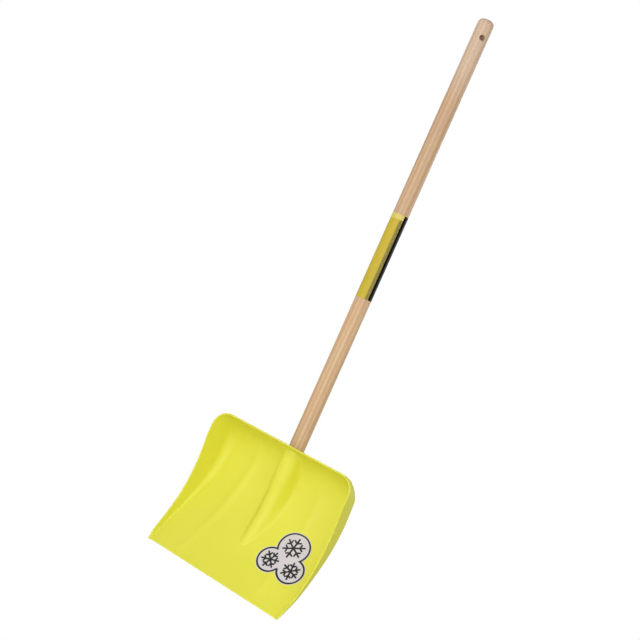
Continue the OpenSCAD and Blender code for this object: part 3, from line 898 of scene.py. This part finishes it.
def zinc_plated_steel(tree, place):
    """Zinc-plated steel: bright grey metal with a faint mottled passivation."""
    mottle = add_node(tree, "TexNoise", {"Vector": place, "Scale": 1 / (1.2 * MM)})
    tint = add_node(tree, "Mix", {
        0: mottle, 6: opaque(linear("#AEB3B8")), 7: opaque(linear("#C9CCCB"))}, data_type="RGBA")
    rough = add_node(tree, "MapRange", {"Value": mottle, "To Min": 0.28, "To Max": 0.42})
    return {"Base Color": tint, "Metallic": 1.0, "Roughness": rough}


# Operators
class PUSHER_OT_blade(bpy.types.Operator):
    """Builds the moulded scoop with its ridge, socket and boss"""

    bl_idname = "pusher.blade"
    bl_label = "Build Scoop"

    def execute(self, context):
        sizes = context.scene.pusher_blade
        form = BladeForm(sizes)
        points, faces = joined(form.surface(), form.socket(), form.boss())
        mesh = make_mesh("scoop", points - [0, 0, sizes.edge_drop], faces, sharp=40)
        make_piece("scoop", mesh, material_of(moulded_polypropylene, sizes), "blade")
        return {"FINISHED"}


class PUSHER_OT_handle(bpy.types.Operator):
    """Builds the wooden handle with its rounded end and hang hole"""

    bl_idname = "pusher.handle"
    bl_label = "Build Handle"

    def execute(self, context):
        sizes = context.scene.pusher_handle
        mesh = make_mesh("wooden_handle", *HandleForm(sizes).surface(), sharp=30)
        make_piece("wooden_handle", mesh, material_of(turned_beech, sizes), "handle")
        return {"FINISHED"}


class PUSHER_OT_label(bpy.types.Operator):
    """Wraps the printed label round the handle"""

    bl_idname = "pusher.label"
    bl_label = "Build Label"

    def execute(self, context):
        sizes = context.scene.pusher_label
        radius = (LABEL_HIGH.x - LABEL_LOW.x) / 2
        points, faces, flat = label_surface(sizes, radius)
        mesh = make_mesh("label", points, faces, flat=flat)
        film = material_of(printed_label_film, sizes, radius)
        make_piece("label", mesh, film, "handle_label")
        return {"FINISHED"}


class PUSHER_OT_sticker(bpy.types.Operator):
    """Lays the die-cut sticker on the scoop's face"""

    bl_idname = "pusher.sticker"
    bl_label = "Build Sticker"

    def execute(self, context):
        sizes, blade = context.scene.pusher_sticker, context.scene.pusher_blade
        points, faces, shares = StickerForm(sizes, blade).surface()
        mesh = make_mesh("sticker", points - [0, 0, blade.edge_drop], faces, shares=shares)
        make_piece("sticker", mesh, material_of(printed_silver_film, sizes), "blade_sticker")
        return {"FINISHED"}


class PUSHER_OT_screw(bpy.types.Operator):
    """Gives the fixing screw its plated finish"""

    bl_idname = "pusher.screw"
    bl_label = "Finish Screw"

    def execute(self, context):
        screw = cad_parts["fixing_screw"]
        screw.data.materials.clear()
        screw.data.materials.append(material_of(zinc_plated_steel))
        return {"FINISHED"}


class PUSHER_OT_stage(bpy.types.Operator):
    """Sets up the floor, the backdrop, the lights and the camera"""

    bl_idname = "pusher.stage"
    bl_label = "Set Stage"
    # Name, turn from straight ahead, height in degrees and watts of each softbox
    softbox_plan = (
        ("front_softbox", 10, 12, 15.0),
        ("camera_softbox", 40, 12, 8.9),
        ("right_softbox", 70, 12, 10.4),
        ("high_softbox", 0, 40, 3.6),
        ("low_softbox", 10, -15, 3.5),
        ("back_right_softbox", 150, 12, 12.8),
        ("back_left_softbox", 205, 20, 15.0),
    )
    # Strength, colour, turn from straight ahead and height in degrees of each glow of the backdrop
    glow_plan = (("below", "warm", 0, -90), ("left", "paper", -60, 10))
    aim_share = 0.65
    sensor = 36

    def execute(self, context):
        sizes = context.scene.pusher_stage
        context.scene.view_settings.view_transform = "Standard"
        self.floor(context, sizes)
        self.backdrop(context, sizes)
        self.softboxes(context, sizes)
        self.camera(context, sizes)
        return {"FINISHED"}

    def floor(self, context, sizes):
        """A white floor that only the camera sees, so that it is as even as the backdrop."""
        half = sizes.floor_size / 2
        corners = (-half, -half), (half, -half), (half, half), (-half, half)
        points = np.array([(x, y, FLOOR_Z) for x, y in corners])
        mesh = make_mesh("floor", points, np.array([[0, 1, 2, 3]]))
        paper = bpy.data.materials.new("white_paper")
        tree = empty_tree(paper)
        glow = add_node(tree, "Emission", {"Color": opaque(sizes.paper)})
        add_node(tree, "OutputMaterial", {"Surface": glow})
        mesh.materials.append(paper)
        floor = bpy.data.objects.new("floor", mesh)
        floor.visible_diffuse = False
        floor.visible_glossy = False
        floor.visible_shadow = False
        context.scene.collection.objects.link(floor)

    def backdrop(self, context, sizes):
        """White to the camera; as light, even with a broad glow from below and one from the left."""
        world = bpy.data.worlds.new("studio")
        tree = empty_tree(world)
        way = add_node(tree, "TexCoord").outputs["Generated"]
        light = add_node(tree, "Background", {"Color": opaque(sizes.paper), "Strength": sizes.ambient})
        for power, tint, azimuth, elevation in self.glow_plan:
            source = self.direction(azimuth, elevation)
            facing = add_node(tree, "VectorMath", {0: way, 1: source}, operation="DOT_PRODUCT")
            ahead = add_node(tree, "Math", {0: facing, 1: 0.0}, operation="MAXIMUM")
            broad = add_node(tree, "Math", {0: ahead, 1: 2.0}, operation="POWER")
            strength = add_node(tree, "Math", {0: broad, 1: getattr(sizes, power)}, operation="MULTIPLY")
            glow = add_node(tree, "Background", {"Color": opaque(getattr(sizes, tint)), "Strength": strength})
            light = add_node(tree, "AddShader", {0: light, 1: glow})
        paper = add_node(tree, "Background", {"Color": opaque(sizes.paper)})
        seen = add_node(tree, "LightPath").outputs["Is Camera Ray"]
        mixed = add_node(tree, "MixShader", {0: seen, 1: light, 2: paper})
        add_node(tree, "OutputWorld", {"Surface": mixed})
        context.scene.world = world

    def direction(self, azimuth, elevation):
        """Unit vector towards a light, by its turn from straight ahead and its height in degrees."""
        a, e = math.radians(azimuth), math.radians(elevation)
        return math.sin(a) * math.cos(e), -math.cos(a) * math.cos(e), math.sin(e)

    def softboxes(self, context, sizes):
        """Large softboxes round the camera and two behind, all aimed at the pusher's lower half."""
        target = np.array([0, 0, self.aim_share * FLOOR_Z])
        for name, azimuth, elevation, watts in self.softbox_plan:
            lamp = bpy.data.lights.new(name, "AREA")
            lamp.energy = watts
            lamp.size = sizes.softbox_size
            softbox = bpy.data.objects.new(name, lamp)
            place = target + sizes.softbox_distance * np.array(self.direction(azimuth, elevation))
            self.aim(softbox, place, target)
            context.scene.collection.objects.link(softbox)

    def aim(self, softbox, place, target):
        """Puts a softbox at a place, facing a target."""
        back = unit(place - target)
        right = unit(np.cross([0, 0, 1], back))
        turn = Matrix(np.stack([right, np.cross(back, right), back], -1).tolist())
        softbox.matrix_world = Matrix.Translation(place.tolist()) @ turn.to_4x4()

    def camera(self, context, sizes):
        """The photograph's view: right and up axes from the azimuth and elevation, then the roll."""
        a, e, roll = sizes.azimuth, sizes.elevation, sizes.roll
        right = np.array([math.cos(a), math.sin(a), 0])
        ahead = np.array([-math.sin(a) * math.cos(e), math.cos(a) * math.cos(e), -math.sin(e)])
        up = np.cross(right, ahead)
        level = math.cos(roll) * right + math.sin(roll) * up
        turn = Matrix(np.stack([level, np.cross(level, ahead), -ahead], -1).tolist())
        lens = bpy.data.cameras.new("camera")
        lens.lens = sizes.lens
        lens.sensor_width = self.sensor
        camera = bpy.data.objects.new("camera", lens)
        place = (sizes.camera_x, sizes.camera_y, sizes.camera_z)
        camera.matrix_world = Matrix.Translation(place) @ turn.to_4x4()
        context.scene.collection.objects.link(camera)
        context.scene.camera = camera


OPERATORS = (PUSHER_OT_blade, PUSHER_OT_handle, PUSHER_OT_label, PUSHER_OT_sticker, PUSHER_OT_screw,
             PUSHER_OT_stage)


class PUSHER_PT_parts(bpy.types.Panel):
    """Lists the pieces and their sizes"""

    bl_label = "Snow Pusher"
    bl_idname = "PUSHER_PT_parts"
    bl_space_type = "VIEW_3D"
    bl_region_type = "UI"
    bl_category = "Snow Pusher"

    def draw(self, context):
        for operator in OPERATORS:
            self.layout.operator(operator.bl_idname)
        for name, group in GROUPS.items():
            box = self.layout.box()
            box.label(text=name.capitalize())
            for key in group.__annotations__:
                box.prop(getattr(context.scene, "pusher_" + name), key)


CLASSES = (*GROUPS.values(), *OPERATORS, PUSHER_PT_parts)


def register():
    """Registers the classes and hangs the sizes on the scene."""
    for cls in CLASSES:
        bpy.utils.register_class(cls)
    for name, group in GROUPS.items():
        setattr(bpy.types.Scene, "pusher_" + name, bpy.props.PointerProperty(type=group))


def unregister():
    """Takes the sizes and the classes away again."""
    for name in GROUPS:
        delattr(bpy.types.Scene, "pusher_" + name)
    for cls in reversed(CLASSES):
        bpy.utils.unregister_class(cls)


def main():
    """Builds every piece and the stage."""
    register()
    for operator in OPERATORS:
        getattr(bpy.ops.pusher, operator.bl_idname.split(".")[1])()


if __name__ == "__main__":
    main()
